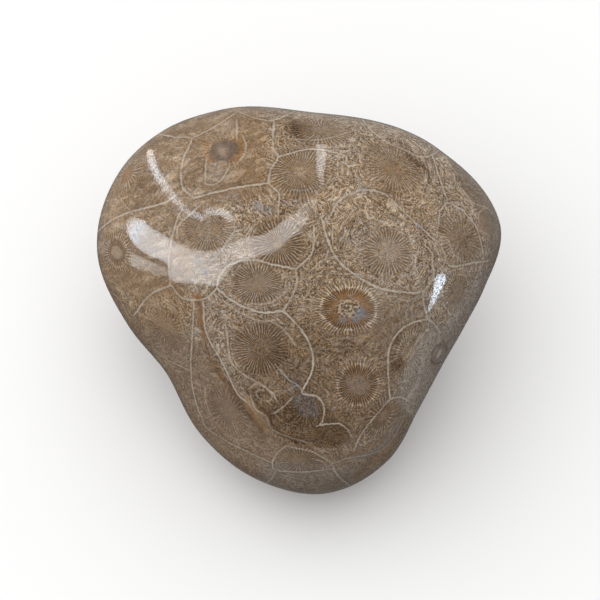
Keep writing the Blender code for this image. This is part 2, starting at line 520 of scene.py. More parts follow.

# Areas with a look of their own: calm, ochre, haze, dark, smear, softness in pixels, and corners.
# Calm takes the grain's contrast away, ochre warms the stone, and smear draws pale strokes over it.
# Haze is a painted reflection: a grey veil, as of the pale table, on the flanks, rims and bottom.
# Dark darkens the stone, and below 0 lightens it: in the middle of the face that is the stone's own
# staining, but on the flanks, the bottom, the rims and the upper-left lobe's edge it is painted shade
# and painted light.
ZONES = table("""
0.45 0 0.15 0 0 12 372,292 424,290 428,318 404,326 388,350 372,340
0 0.35 0 0.12 0 24 230,115 300,118 300,235 372,262 372,300 300,345 285,290 236,240
0 0.3 0 -0.25 0 12 85,165 128,165 128,228 85,228
0 -0.2 0.5 -0.15 0 14 262,462 330,466 360,462 350,500 250,500
0 0.9 0 0 0 16 80,262 150,268 180,290 200,300 190,330 130,325 90,290
0 0 0 0 0.6 4 426,268 452,268 444,300 432,316 422,314
0.42 0.5 0.15 0.25 0 3 90,255 112,288 135,312 150,321 165,329 180,336 192,340 204,342 210,357 218,371 \
226,383 234,394 246,404 256,416 266,432 290,445 311,451 334,456 356,450 376,440 390,420 400,405 416,420 \
450,420 400,530 220,530 80,330
0.15 -0.2 0.75 -0.28 0 7 430,320 441,324 452,314 462,296 480,274 500,262 520,262 500,330 430,430 402,408 \
394,398 404,372 418,345
0.5 -0.1 0.45 0.2 0 5 446,150 460,186 473,203 486,220 490,262 530,262 520,160
0.75 0.4 0 0 1 12 80,90 262,90 268,190 200,215 190,292 140,300 90,262
0 0.4 0 0.1 0 16 300,160 400,160 440,200 430,240 370,215 310,250
0.32 0.15 0 0.52 0 46 236,330 300,318 390,318 396,400 358,452 302,448 270,432 240,390
0 0.2 0 0.45 0 8 246,386 272,391 288,398 303,396 318,400 330,412 350,432 354,446 340,449 324,447 311,442 \
302,445 293,443 284,438 272,430 266,416 254,400
0.55 0.5 0 -0.45 0 2.5 242,390 251,397 255,403 259,410 266,416 269,424 272,432 266,433 256,424 249,412 \
243,403
""")


def curve_through(points, step):
    """Places about a step apart along a smooth curve through a line's points."""
    given = [np.array(p, float) for p in points]
    ends = [2 * given[0] - given[1], *given, 2 * given[-1] - given[-2]]
    found = []
    for before, a, b, after in zip(ends, ends[1:], ends[2:], ends[3:]):
        count = max(1, round(np.linalg.norm(b - a) / step))
        for t in np.arange(count) / count:
            found.append(smooth_between(t, a, b, (b - before) / 2, (after - a) / 2))
    found.append(given[-1])
    return found


def cast_line(stone, points, step=2.0):
    """A photographed line on the stone, as points and normals, without those past its outline."""
    hits = [stone.cast(*p) for p in curve_through(points, step)]
    hits = [h for h in hits if h is not None]
    return np.array([h[0] for h in hits]), np.array([h[1] for h in hits])


def rim_direction(place):
    """The angle round the photograph's centre at which a pixel lies, in radians."""
    return math.atan2(CENTRE_PX[1] - place[1], place[0] - CENTRE_PX[0])


def surface_at(stone, directions):
    """Points of the stone in directions of its face frame."""
    return leaned_points(np.atleast_2d(directions)) + np.append(stone.centre[:2], 0.0)


def hidden_cells(stone):
    """Middles and half-widths of the cells past the view: first those that the outline crosses,
    each as wide as the gap between two walls there, and then others spread over the rest."""
    around = sorted(rim_direction(pixel(word)) for word in RIM_WALLS.split())
    middles, halves = [], []
    behind = math.radians(6)
    for start, end in zip(around, [*around[1:], around[0] + 2 * math.pi]):
        angles = np.linspace(start, end, 9)
        rim = np.stack([np.cos(angles), np.sin(angles), 0 * angles], axis=1)
        line = surface_at(stone, rim)
        halves.append(np.linalg.norm(np.diff(line, axis=0), axis=1).sum() / 2)
        middle = (start + end) / 2
        direction = [math.cos(middle), math.sin(middle), -math.sin(behind)]
        middles.append(surface_at(stone, np.array(direction))[0])
    draw = np.random.RandomState(HIDDEN_SEED)
    tries = draw.normal(size=(HIDDEN_TRIES, 3))
    tries /= np.linalg.norm(tries, axis=1)[:, None]
    tries = tries[tries[:, 2] < HIDDEN_DEPTH]
    places = surface_at(stone, tries)
    while True:
        gap = np.linalg.norm(places[:, None] - np.array(middles), axis=2) - np.array(halves)
        room = gap.min(axis=1)
        # A little chance keeps the cells from lying in rows.
        best = (room - draw.uniform(0, HIDDEN_CHANCE, len(room))).argmax()
        if room[best] < HIDDEN_SPACING - HIDDEN_HALF:
            break
        middles.append(places[best])
        halves.append(HIDDEN_HALF + draw.uniform(-1.0, 1.0))
    return np.array(middles), np.array(halves), len(around)


def grown_rosettes(stone, middles, drawn, first_inner):
    """Rosettes for the hidden cells, apart from those whose own rosette the photograph shows."""
    draw = np.random.RandomState(HIDDEN_SEED + 1)
    made = []
    for k, middle in enumerate(middles):
        kind = draw.uniform(size=6)
        near = np.linalg.norm(drawn - middle, axis=1).min()
        if k < first_inner and near < SHOWN_WITHIN:
            continue
        rosette = {
            **PLAIN,
            "core": 1.2 + 1.0 * kind[0],
            "reach": 4.6 + 1.2 * kind[1],
            "plates": 38 + int(10 * kind[2]),
            "contrast": 0.55 + 0.4 * kind[3],
            "tone": 0.3 * (kind[4] - 0.5),
            "long": 1 + 0.3 * kind[5],
            "turn": 360 * kind[0],
        }
        if kind[4] > 0.75:
            rosette.update({"rust": 0.8 * kind[3], "halo": 0.7, "plain": 0.2, "specks": kind[2]})
        place, normal, _, _ = stone.tree.find_nearest(Vector(middle))
        made.append((np.array(place), np.array(normal), rosette))
    return made


def rosette_attributes(stone, rosettes):
    """Stores, for each corner, its place in the nearest rosette, and that rosette's form."""
    centres = np.array([c for c, _, _ in rosettes])
    reach = np.array([r["reach"] for _, _, r in rosettes])
    gauge = np.linalg.norm(stone.middles[:, None] - centres, axis=2) / (reach + ROSETTE_GAP)
    nearest = gauge.argmin(axis=1)
    places, forms, dresses, cores, shows = (np.zeros(stone.corners.shape) for _ in range(5))
    for k, (centre, normal, r) in enumerate(rosettes):
        mine = nearest == k
        if not mine.any():
            continue
        east = RIGHT - normal * (RIGHT @ normal)
        east /= np.linalg.norm(east)
        north = np.cross(normal, east)
        turn = math.radians(r["turn"])
        long_way = math.cos(turn) * east + math.sin(turn) * north
        cross_way = np.cross(normal, long_way)
        away = stone.corners[mine] - centre
        flat = np.stack([away @ long_way, away @ cross_way], axis=-1)
        # The true distance keeps a rosette's size where the stone curves away under it.
        length = np.linalg.norm(away, axis=-1) / np.maximum(np.linalg.norm(flat, axis=-1), 1e-6)
        flat = flat * length[..., None] * np.array([r["long"] ** -0.5, r["long"] ** 0.5])
        places[mine, :, 0:2] = flat
        places[mine, :, 2] = k
        forms[mine] = (r["core"], r["reach"], r["plates"])
        dresses[mine] = (r["ring"], r["halo"], r["rust"])
        cores[mine] = (r["tone"], r["plain"], r["lilac"])
        shows[mine] = (r["contrast"], r["specks"], 0.0)
    stone.keep("rosette_place", places)
    stone.keep("rosette_form", forms)
    stone.keep("rosette_dress", dresses)
    stone.keep("rosette_core", cores)
    stone.keep("rosette_show", shows)


def line_parts(stone, lines):
    """All straight bits of the drawn lines: start, end, direction across, and the line's index."""
    starts, ends, across, owner = [], [], [], []
    for k, points in enumerate(lines):
        places, normals = cast_line(stone, points)
        for a, b, normal in zip(places, places[1:], normals):
            way = np.cross(b - a, normal)
            size = np.linalg.norm(way)
            if size < 1e-6:
                continue
            starts.append(a)
            ends.append(b)
            across.append(way / size)
            owner.append(k)
    return np.array(starts), np.array(ends), np.array(across), np.array(owner)


def distance_to_lines(stone, lines, limit):
    """For each corner its signed distance from the line nearest to its face, and that line."""
    starts, ends, across, owner = line_parts(stone, lines)
    tree = KDTree(len(starts))
    for k, middle in enumerate((starts + ends) / 2):
        tree.insert(middle, k)
    tree.balance()
    chosen = np.full(len(stone.middles), -1)
    for f, middle in enumerate(stone.middles):
        _, k, distance = tree.find(middle)
        if distance < limit:
            chosen[f] = k
    near = chosen >= 0
    k = chosen[near]
    bit = ends[k] - starts[k]
    length = np.linalg.norm(bit, axis=1)
    along_way = bit / length[:, None]
    offset = stone.corners[near] - starts[k][:, None]
    aside = (offset * across[k][:, None]).sum(axis=2)
    along = (offset * along_way[:, None]).sum(axis=2)
    past = np.maximum(np.maximum(-along, along - length[:, None]) - BIT_OVERLAP, 0)
    distance = np.full(stone.corners.shape[:2], limit)
    distance[near] = np.sign(aside) * np.hypot(aside, past)
    line = np.full(len(chosen), -1)
    line[near] = owner[k]
    return distance, line


def hidden_walls(stone, middles, halves, faces):
    """Signed distance of each corner of these faces from the wall between its two nearest cells."""
    from_cell = np.linalg.norm(stone.middles[faces][:, None] - middles, axis=2) - halves
    corners = stone.corners[faces]
    first, second = (
        np.linalg.norm(corners - middles[cell][:, None], axis=2) - halves[cell][:, None]
        for cell in np.argsort(from_cell, axis=1)[:, :2].T
    )
    return (second - first) / 2


def wall_attribute(stone, middles, halves):
    """Stores each corner's signed distance from a wall, the wall's strength, and its blueness."""
    kept = np.zeros(stone.corners.shape)
    kept[..., 0], line = distance_to_lines(stone, [pixels for _, _, pixels in WALLS], WALL_REACH)
    dress = np.array([(strength, blue) for strength, blue, _ in WALLS] + [(0.0, 0.0)])
    kept[..., 1:] = dress[line][:, None]
    hidden = np.flatnonzero(stone.facing() < 0.0)
    kept[hidden, :, 0] = hidden_walls(stone, middles, halves, hidden)
    kept[hidden, :, 1:] = (HIDDEN_WALL, 0.0)
    stone.keep("wall", kept)


def stain_and_shade_attribute(stone, darkness):
    """Stores how rusty, dark and blue each corner is, given how dark its area is: that darkness is painted
    shade and painted light on the flanks and rims, and the stone's own staining elsewhere.
    """
    stain = np.zeros(stone.corners.shape)
    # The zones' darkness: painted shade and painted light on the flanks and rims, the stone's own staining
    # in the middle of the face.
    stain[..., 1] = darkness
    for *amounts, half_width, line in STREAKS:
        distance, _ = distance_to_lines(stone, [line], 6 * half_width)
        stain += np.exp(-((distance / half_width) ** 2))[..., None] * np.array(amounts)
    for *amounts, radius, (middle,) in STAINS:
        distance = np.linalg.norm(stone.corners - stone.cast(*middle)[0], axis=2)
        stain += np.exp(-((distance / radius) ** 2))[..., None] * np.array(amounts)
    stone.keep("stain", stain)


def crack_attribute(stone):
    """Stores how many half-widths each corner lies from the nearest crack, its rust and darkness."""
    distance, line = distance_to_lines(stone, [pixels for *_, pixels in CRACKS], CRACK_REACH)
    forms = np.array([form for *form, _ in CRACKS] + [(0.0, 0.0, 1.0)])[line][:, None]
    crack = np.zeros(stone.corners.shape)
    crack[..., 0] = distance / forms[..., 2]
    crack[..., 1:] = forms[..., :2]
    stone.keep("crack", crack)


def inside_polygon(points, polygon):
    """How far each point lies inside a polygon, below 0 outside it."""
    inside = np.zeros(len(points), bool)
    nearest = np.full(len(points), np.inf)
    for a, b in zip(polygon, np.roll(polygon, -1, axis=0)):
        bit = b - a
        share = np.clip(((points - a) @ bit) / (bit @ bit), 0, 1)
        nearest = np.minimum(nearest, np.linalg.norm(points - a - share[:, None] * bit, axis=1))
        across = (a[1] > points[:, 1]) != (b[1] > points[:, 1])
        rise = bit[1] if bit[1] else 1.0
        inside ^= across & (points[:, 0] < a[0] + (points[:, 1] - a[1]) / rise * bit[0])
    return np.where(inside, nearest, -nearest)


def zone_shares(stone):
    """How calm, ochre, greyed by a painted reflection veil, dark (partly painted shade and painted light)
    and smeared each corner is; past the view, only a little calm.
    """
    pixels = stone.pixels(stone.corners.reshape(-1, 3))
    seen = np.clip(np.repeat(stone.facing(), 4) / RIM_SOFTNESS, 0, 1)[:, None]
    zone = (1 - seen) * np.array(HIDDEN_ZONE)
    for *amounts, softness, polygon in ZONES:
        depth = inside_polygon(pixels, np.array(polygon))
        share = np.clip(depth / softness + 0.5, 0, 1)
        share = share * share * (3 - 2 * share)
        zone += share[:, None] * seen * np.array(amounts)
    return zone.reshape(*stone.corners.shape[:2], 5)


class Value:
    """A number or vector in a shader. Plain arithmetic on numbers adds the nodes that work it out."""

    def __init__(self, nodes, socket):
        self.nodes = nodes
        self.socket = socket

    def __add__(self, other):
        return self.nodes.math("ADD", self, other)

    def __sub__(self, other):
        return self.nodes.math("SUBTRACT", self, other)

    def __rsub__(self, other):
        return self.nodes.math("SUBTRACT", other, self)

    def __mul__(self, other):
        return self.nodes.math("MULTIPLY", self, other)

    def __truediv__(self, other):
        return self.nodes.math("DIVIDE", self, other)

    def __abs__(self):
        return self.nodes.math("ABSOLUTE", self)


class Nodes:
    """Short names for the shader nodes that a material is made of."""

    def __init__(self, tree):
        self.tree = tree

    def add(self, kind, **settings):
        node = self.tree.nodes.new(kind)
        for key, value in settings.items():
            setattr(node, key, value)
        return node

    def feed(self, socket, value):
        if isinstance(value, Value):
            self.tree.links.new(value.socket, socket)
        else:
            socket.default_value = value

    def made(self, kind, inputs, output=0, **settings):
        """What a new node gives out, once it is fed its inputs, each under its number or name."""
        node = self.add(kind, **settings)
        for key, value in inputs.items():
            self.feed(node.inputs[key], value)
        return Value(self, node.outputs[output])

    def math(self, operation, a, b=0.0):
        return self.made("ShaderNodeMath", {0: a, 1: b}, operation=operation)

    def vector(self, operation, a, b=(0, 0, 0), scale=1.0):
        output = "Value" if operation == "DOT_PRODUCT" else "Vector"
        return self.made("ShaderNodeVectorMath", {0: a, 1: b, 3: scale}, output, operation=operation)

    def split(self, vector):
        node = self.add("ShaderNodeSeparateXYZ")
        self.feed(node.inputs[0], vector)
        return [Value(self, output) for output in node.outputs]

    def join(self, x, y, z):
        return self.made("ShaderNodeCombineXYZ", {0: x, 1: y, 2: z})

    def kept(self, name):
        """The three numbers that the mesh keeps under an attribute's name."""
        return self.split(self.made("ShaderNodeAttribute", {}, "Vector", attribute_name=name))

    def noise(self, vector, scale, detail=0.0, roughness=0.5, output="Fac"):
        inputs = {"Vector": vector, "Scale": scale, "Detail": detail, "Roughness": roughness}
        return self.made("ShaderNodeTexNoise", inputs, output)

    def step(self, value, low, high, start=0.0, end=1.0):
        """Goes smoothly from start to end as the value goes from low to high."""
        inputs = {0: value, 1: low, 2: high, 3: start, 4: end}
        return self.made("ShaderNodeMapRange", inputs, interpolation_type="SMOOTHSTEP")

    def ridge(self, noise):
        """1 on the lines where a noise passes its middle value, falling to 0 at each side."""
        return self.step(abs(noise - 0.5), 0.0, RIDGE_WIDTH, 1.0, 0.0)

    def bell(self, value, width):
        """1 where the value is 0, falling to 0 over about the width at each side."""
        share = value / width
        return self.math("EXPONENT", share * share * -1.0)

    def mix(self, share, a, b):
        """A colour between a and b."""
        a, b = (c if isinstance(c, Value) else (*c, 1.0) for c in (a, b))
        inputs = {0: share, 6: a, 7: b}
        return self.made("ShaderNodeMix", inputs, 2, data_type="RGBA", clamp_factor=True)

    def blend(self, share, a, b):
        """A number between a and b."""
        inputs = {0: share, 2: a, 3: b}
        return self.made("ShaderNodeMix", inputs, data_type="FLOAT", clamp_factor=True)

    def ramp(self, value, stops):
        node = self.add("ShaderNodeValToRGB")
        self.feed(node.inputs[0], value)
        elements = node.color_ramp.elements
        while len(elements) < len(stops):
            elements.new(0.5)
        for element, (at, colour) in zip(elements, stops):
            element.position = at
            element.color = (*colour, 1.0)
        return Value(self, node.outputs[0])


# The stone's colours, as linear light.
STONE_STOPS = [
    (0.0, (0.034, 0.022, 0.014)),
    (0.3, (0.130, 0.087, 0.052)),
    (0.55, (0.250, 0.184, 0.126)),
    (0.8, (0.410, 0.340, 0.265)),
    (1.0, (0.600, 0.540, 0.460)),
]
WARM_TINT = (1.08, 0.99, 0.86)
COOL_TINT = (0.95, 1.00, 1.10)
LILAC_DARK = (0.080, 0.066, 0.062)
LILAC_PALE = (0.330, 0.290, 0.285)
OCHRE = (1.10, 0.98, 0.80)
# The grey of a painted reflection veil, as of the pale table, and the tint of the stone's own grey under
# it.
PAINTED_VEIL_GREY = (0.168, 0.145, 0.125)
PAINTED_VEIL_TINT = (1.12, 0.97, 0.82)
LUMINANCE = (0.3, 0.6, 0.1)
BLUE = (0.150, 0.195, 0.255)
WALL_CREAM = (0.500, 0.445, 0.370)
WALL_BLUE = (0.200, 0.225, 0.240)
RUST = (0.300, 0.150, 0.058)
DARK_RUST = (0.070, 0.036, 0.016)
SMEAR_TURN = math.radians(17)  # which way the pale strokes run, from the photograph's right
SMEAR_ALONG = RIGHT * math.cos(SMEAR_TURN) + UP * math.sin(SMEAR_TURN)
SMEAR_ACROSS = UP * math.cos(SMEAR_TURN) - RIGHT * math.sin(SMEAR_TURN)
RIDGE_WIDTH = 0.12  # half-width, in a noise's own values, of the lines that it is turned into
POLISH_RELIEF = 0.009  # height in millimetres that the polish leaves between plates and gaps


def read_pattern(n):
    """What the mesh keeps for the point that is shaded, and where the point lies in its rosette."""
    p = SimpleNamespace()
    p.place = n.vector("SCALE", n.made("ShaderNodeTexCoord", {}, "Object"), scale=1 / MM)
    x, y, index = n.kept("rosette_place")
    p.core, p.reach, p.plates = n.kept("rosette_form")
    p.ring, p.halo, p.rust = n.kept("rosette_dress")
    p.tone, p.plain, p.lilac = n.kept("rosette_core")
    p.contrast, p.specks, _ = n.kept("rosette_show")
    p.wall_distance, p.wall_strength, p.wall_blue = n.kept("wall")
    p.stain_rust, p.stain_dark, p.stain_blue = n.kept("stain")
    p.crack, p.crack_rust, p.crack_dark = n.kept("crack")
    p.calm, p.ochre, p.haze = n.kept("zone")
    p.smear = n.kept("smear")[0]
    p.fine = n.noise(p.place, 3.4, 1.0, 0.6)
    sway = n.noise(p.place, 0.7, 2.0, 0.6) - 0.5
    p.true_radius = n.math("SQRT", x * x + y * y)
    p.radius = sway * 1.3 + p.true_radius
    p.angle = sway * 0.22 + n.math("ARCTAN2", y, x)
    p.sine, p.cosine = n.math("SINE", p.angle), n.math("COSINE", p.angle)
    p.shift = index * 7.0  # gives each rosette noise of its own
    return p


def add_grain(n, p):
    """Starts the stone's tone, from 0, dark, to 1, pale: light lines with dark pits between them."""
    curl = n.vector("SUBTRACT", n.noise(p.place, 0.9, 1.0, output="Color"), (0.5, 0.5, 0.5))
    p.curled = n.vector("ADD", p.place, n.vector("SCALE", curl, scale=1.5))
    curls = n.ridge(n.noise(p.curled, 1.9, 1.0, 0.6))

    # Streaks that run out from each rosette, and others that run round it.
    p.out_place = n.join(p.cosine * 14.0, p.sine * 14.0, p.true_radius * 0.5 + p.shift)
    outward = n.ridge(n.noise(p.out_place, 1.0, 1.0))
    round_place = n.join(p.cosine * 2.6, p.sine * 2.6, p.radius * 1.9 + p.shift)
    around = n.ridge(n.noise(round_place, 1.0, 1.0))
    flow = n.noise(p.place, 0.28, 1.0)
    lines = n.blend(n.step(flow, 0.43, 0.48), around, curls)
    lines = n.blend(n.step(flow, 0.52, 0.57), lines, outward)
    p.lines = n.math("MAXIMUM", lines, curls * 0.6)
    pits = n.step(n.noise(p.curled, 2.8, 1.0), 0.57, 0.68)
    pits = pits * n.step(n.noise(p.place, 0.45, 1.0), 0.42, 0.60, 0.2, 1.0)
    p.stone = p.lines * 0.52 + 0.34 - pits * 0.20 + (p.fine - 0.5) * 0.65

    # Calm places, and pale strokes over them.
    p.stone = n.blend(p.calm * 0.72, p.stone, 0.47)
    along = n.vector("DOT_PRODUCT", p.curled, tuple(SMEAR_ALONG))
    across = n.vector("DOT_PRODUCT", p.curled, tuple(SMEAR_ACROSS))
    strokes = n.noise(n.join(along * 0.25, across * 0.9, 0.0), 1.0, 2.0, 0.6)
    p.stone = n.step(strokes, 0.42, 0.74, -0.05, 0.20) * p.smear + p.stone


def add_plates(n, p):
    """Adds rays from the rosette's middle, each of its own brightness and a little broken."""
    each_ray = n.join(p.cosine * 7.0, p.sine * 7.0, p.true_radius + p.shift)
    broken = n.step(n.noise(each_ray, 0.9, 2.0), 0.3, 0.65, 0.4, 1.0)
    rays = n.step(n.math("COSINE", p.plates * p.angle), -0.1, 0.95) * broken
    plate_tone = rays * 0.52 + (p.fine - 0.5) * 0.5 + 0.31
    p.past_core = n.step(p.radius, p.core * 0.65, p.core * 1.3)
    in_reach = n.step(p.radius, p.reach * 0.75, p.reach * 1.08, 1.0, 0.0)
    clear = 1.0 - p.calm * 0.35
    p.stone = n.blend(p.past_core * in_reach * p.contrast * clear, p.stone, plate_tone)

    # The dark gaps and the pale ends of the plates at a ring, and the ring's own thin line.
    ringed = p.halo * clear
    p.inward = p.ring - p.radius
    gap = n.step(p.inward, 0.15, 0.5) * n.step(p.inward, 1.0, 1.7, 1.0, 0.0) * (1.0 - rays)
    half_seen = n.step(n.noise(p.out_place, 0.35, 1.0), 0.42, 0.6, 0.25, 1.0)
    ring_line = n.bell(p.inward, 0.2) * half_seen
    ends = n.bell(p.inward + 0.35, 1.0) * (rays + 0.5)
    p.stone = (ring_line * 0.48 + ends * 0.18 - gap * 0.13) * ringed + p.stone


def add_middle(n, p):
    """Adds slow changes of tone, the rosette's middle, even or full of specks, and dark stains, which on
    the flanks and rims are painted shade and painted light.
    """
    slow = (n.noise(p.place, 0.2, 2.0) - 0.5) * 0.30
    in_core = n.step(p.radius, p.core * 0.82, p.core * 1.12, 1.0, 0.0)
    swirl = n.ridge(n.noise(p.curled, 0.9))
    middle = n.math("MAXIMUM", swirl, p.lines * 0.8) * 0.16 + 0.43 + p.tone * 0.5
    p.stone = n.blend(in_core * p.plain, p.stone + slow, middle)
    speck_tone = n.step(n.noise(p.place, 2.3, 1.0, 0.6), 0.38, 0.62, 0.26, 0.86)
    # Darkens by the stains, among them painted shade and painted light on the flanks and rims.
    p.stone = n.blend(in_core * p.specks, p.stone, speck_tone) - p.stain_dark * 0.30
    p.lilac_share = in_core * p.lilac * 0.75


def stone_colour(n, p):
    """The tone's colour, with lilac, small changes of hue, ochre, rust, blue crystal, and a painted
    reflection: a grey veil, as of the pale table, on the flanks and rims.
    """
    lilac = n.mix(n.step(p.stone, 0.15, 0.85), LILAC_DARK, LILAC_PALE)
    colour = n.mix(p.lilac_share, n.ramp(p.stone, STONE_STOPS), lilac)
    hue = n.step(n.noise(p.place, 1.3, 2.0, 0.7), 0.34, 0.66)
    colour = n.vector("MULTIPLY", colour, n.mix(hue, COOL_TINT, WARM_TINT))
    colour = n.mix(p.ochre, colour, n.vector("MULTIPLY", colour, OCHRE))
    rusty = p.past_core * n.step(p.inward, 0.3, 0.9) * p.rust
    rusty = rusty * n.step(n.noise(p.place, 0.55, 1.0), 0.36, 0.52) + p.stain_rust
    rusty = rusty * n.step(p.fine, 0.3, 0.6, 0.35, 0.95)
    colour = n.mix(rusty, colour, n.mix(n.step(p.stone, 0.2, 0.5), DARK_RUST, RUST))
    colour = n.mix(p.stain_blue * n.step(p.fine, 0.36, 0.56, 0.2, 1.0), colour, BLUE)
    # Painted reflection: greys the colour towards a pale veil where the zones ask for it.
    grey = n.vector("SCALE", PAINTED_VEIL_TINT, scale=n.vector("DOT_PRODUCT", colour, LUMINANCE))
    return n.mix(p.haze * 0.85, colour, n.mix(0.4, grey, PAINTED_VEIL_GREY))


def draw_lines(n, p, colour):
    """Draws thin uneven cracks, rusty or dark, and then walls, with darker stone beside them."""
    wander = n.noise(p.place, 1.1, 2.0, 0.6) - 0.5
    in_crack = n.bell(wander * 1.6 + p.crack, 1.0) * n.step(p.fine, 0.25, 0.5, 0.6, 1.0)
    rusted = n.step(n.noise(p.place, 1.0, 2.0), 0.42, 0.58)
    colour = n.mix(in_crack * p.crack_rust * (rusted * 0.7 + 0.3), colour, RUST)
    colour = n.mix(in_crack * p.crack_dark * (1.0 - rusted * 0.6), colour, DARK_RUST)
    from_wall = abs(wander * 0.45 + p.wall_distance)
    uneven = n.step(n.noise(p.place, 0.45, 1.0), 0.35, 0.6, 0.6, 1.0)
    wall_share = uneven * n.step(p.fine, 0.32, 0.52, 0.65, 1.0) * p.wall_strength
    beside = n.bell(from_wall - 0.4, 0.16) * wall_share
    colour = n.mix(beside * 0.35, colour, DARK_RUST)
    on_wall = n.step(from_wall, 0.06, 0.25, 1.0, 0.0) * wall_share
    return n.mix(on_wall, colour, n.mix(p.wall_blue, WALL_CREAM, WALL_BLUE))


def coral_material():
    """Polished fossil coral: brown stone full of fine cream plates, curls and thin walls. The scales
    of its noises are per millimetre."""
    material = bpy.data.materials.new("polished_coral_looks")
    material.use_nodes = True
    shader = material.node_tree.nodes["Principled BSDF"].inputs
    n = Nodes(material.node_tree)
    p = read_pattern(n)
    add_grain(n, p)
    add_plates(n, p)
    add_middle(n, p)
    n.feed(shader["Base Color"], draw_lines(n, p, stone_colour(n, p)))
    worn = p.smear * 0.08 + n.noise(p.place, 2.6, 1.0)
    n.feed(shader["Roughness"], n.step(worn, 0.60, 0.70, 0.04, 0.34))
    bump = {
        "Height": p.stone + p.fine * 0.6,
        "Strength": p.smear * 0.5 + 0.3,
        "Distance": POLISH_RELIEF * MM,
    }
    n.feed(shader["Normal"], n.made("ShaderNodeBump", bump, "Normal"))
    return material


def make_stone():
    """The stone, as one piece that stands in for the solid, with its pattern on it."""
    stone = Stone()
    rosettes = []
    for given in ROSETTES:
        place, normal = stone.cast(*given["at"])
        rosettes.append((place, normal, {**PLAIN, **given}))
    middles, halves, rim_count = hidden_cells(stone)
    drawn = np.array([place for place, _, _ in rosettes])
    rosettes += grown_rosettes(stone, middles, drawn, rim_count)
    rosette_attributes(stone, rosettes)
    wall_attribute(stone, middles, halves)
    crack_attribute(stone)
    shares = zone_shares(stone)
    # The zones' darkness joins the stains, as painted shade and painted light on the flanks and rims.
    stain_and_shade_attribute(stone, shares[..., 3])
    # The zone's third share greys the stone as a painted reflection veil.
    stone.keep("zone", shares[..., :3])
    stone.keep("smear", shares[..., [4, 4, 4]])
    piece = bpy.data.objects.new("coral_stone", stone.mesh)
    bpy.context.scene.collection.objects.link(piece)
    stone.mesh.materials.append(coral_material())
    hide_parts("polished_coral")
    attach(piece, "root")
    return stone


FLOOR_SIDE = 4.0  # in metres
FLOOR_WHITE = (0.86, 0.86, 0.86)
FLOOR_ROUGHNESS = 0.9

# The studio: soft light from above and a little from the photograph's left, less from elsewhere.
LIGHT_WAY = RIGHT * -0.35 + UP * 0.65 + OUT * 0.65
BRIGHT_SIDE = (1.60, 1.59, 1.58)
DIM_SIDE = (0.40, 0.40, 0.41)
BELOW = (0.30, 0.29, 0.28)
# What the polish reflects past the lamps: a dim room above the horizon, a pale table below it, and
# the stone's own shade on that table right below.
TABLE_REFLECTION = (0.36, 0.35, 0.34)
ROOM_REFLECTION = (0.12, 0.115, 0.11)
SHADE_REFLECTION = (0.14, 0.13, 0.12)


def make_floor():
    """A pale floor that takes the stone's shadow and is seen by the camera alone."""
    bpy.ops.mesh.primitive_plane_add(size=FLOOR_SIDE)
    floor = bpy.context.object
    floor.name = "floor"
    floor.visible_glossy = False
    floor.visible_diffuse = False
    material = bpy.data.materials.new("pale_floor")
    material.use_nodes = True
    shader = material.node_tree.nodes["Principled BSDF"]
    shader.inputs["Base Color"].default_value = (*FLOOR_WHITE, 1.0)
    shader.inputs["Roughness"].default_value = FLOOR_ROUGHNESS
    floor.data.materials.append(material)


def make_world():
    """A soft white studio, which the polish sees as a pale table and a dim room."""
    world = bpy.data.worlds.new("studio")
    world.use_nodes = True
    n = Nodes(world.node_tree)
    way = n.made("ShaderNodeTexCoord", {}, "Generated")
    height = n.split(way)[2]
    towards = tuple(LIGHT_WAY / np.linalg.norm(LIGHT_WAY))
    lit = n.mix(n.step(n.vector("DOT_PRODUCT", way, towards), -0.1, 1.0), DIM_SIDE, BRIGHT_SIDE)
    lit = n.mix(n.step(height, -0.15, 0.05), BELOW, lit)
    reflected = n.mix(n.step(height, -0.90, -0.55), SHADE_REFLECTION, TABLE_REFLECTION)
    reflected = n.mix(n.step(height, -0.10, 0.06), reflected, ROOM_REFLECTION)
    glossy = n.made("ShaderNodeLightPath", {}, "Is Glossy Ray")
    n.feed(world.node_tree.nodes["Background"].inputs["Color"], n.mix(glossy, lit, reflected))
    bpy.context.scene.world = world
    bpy.context.scene.view_settings.view_transform = "Standard"


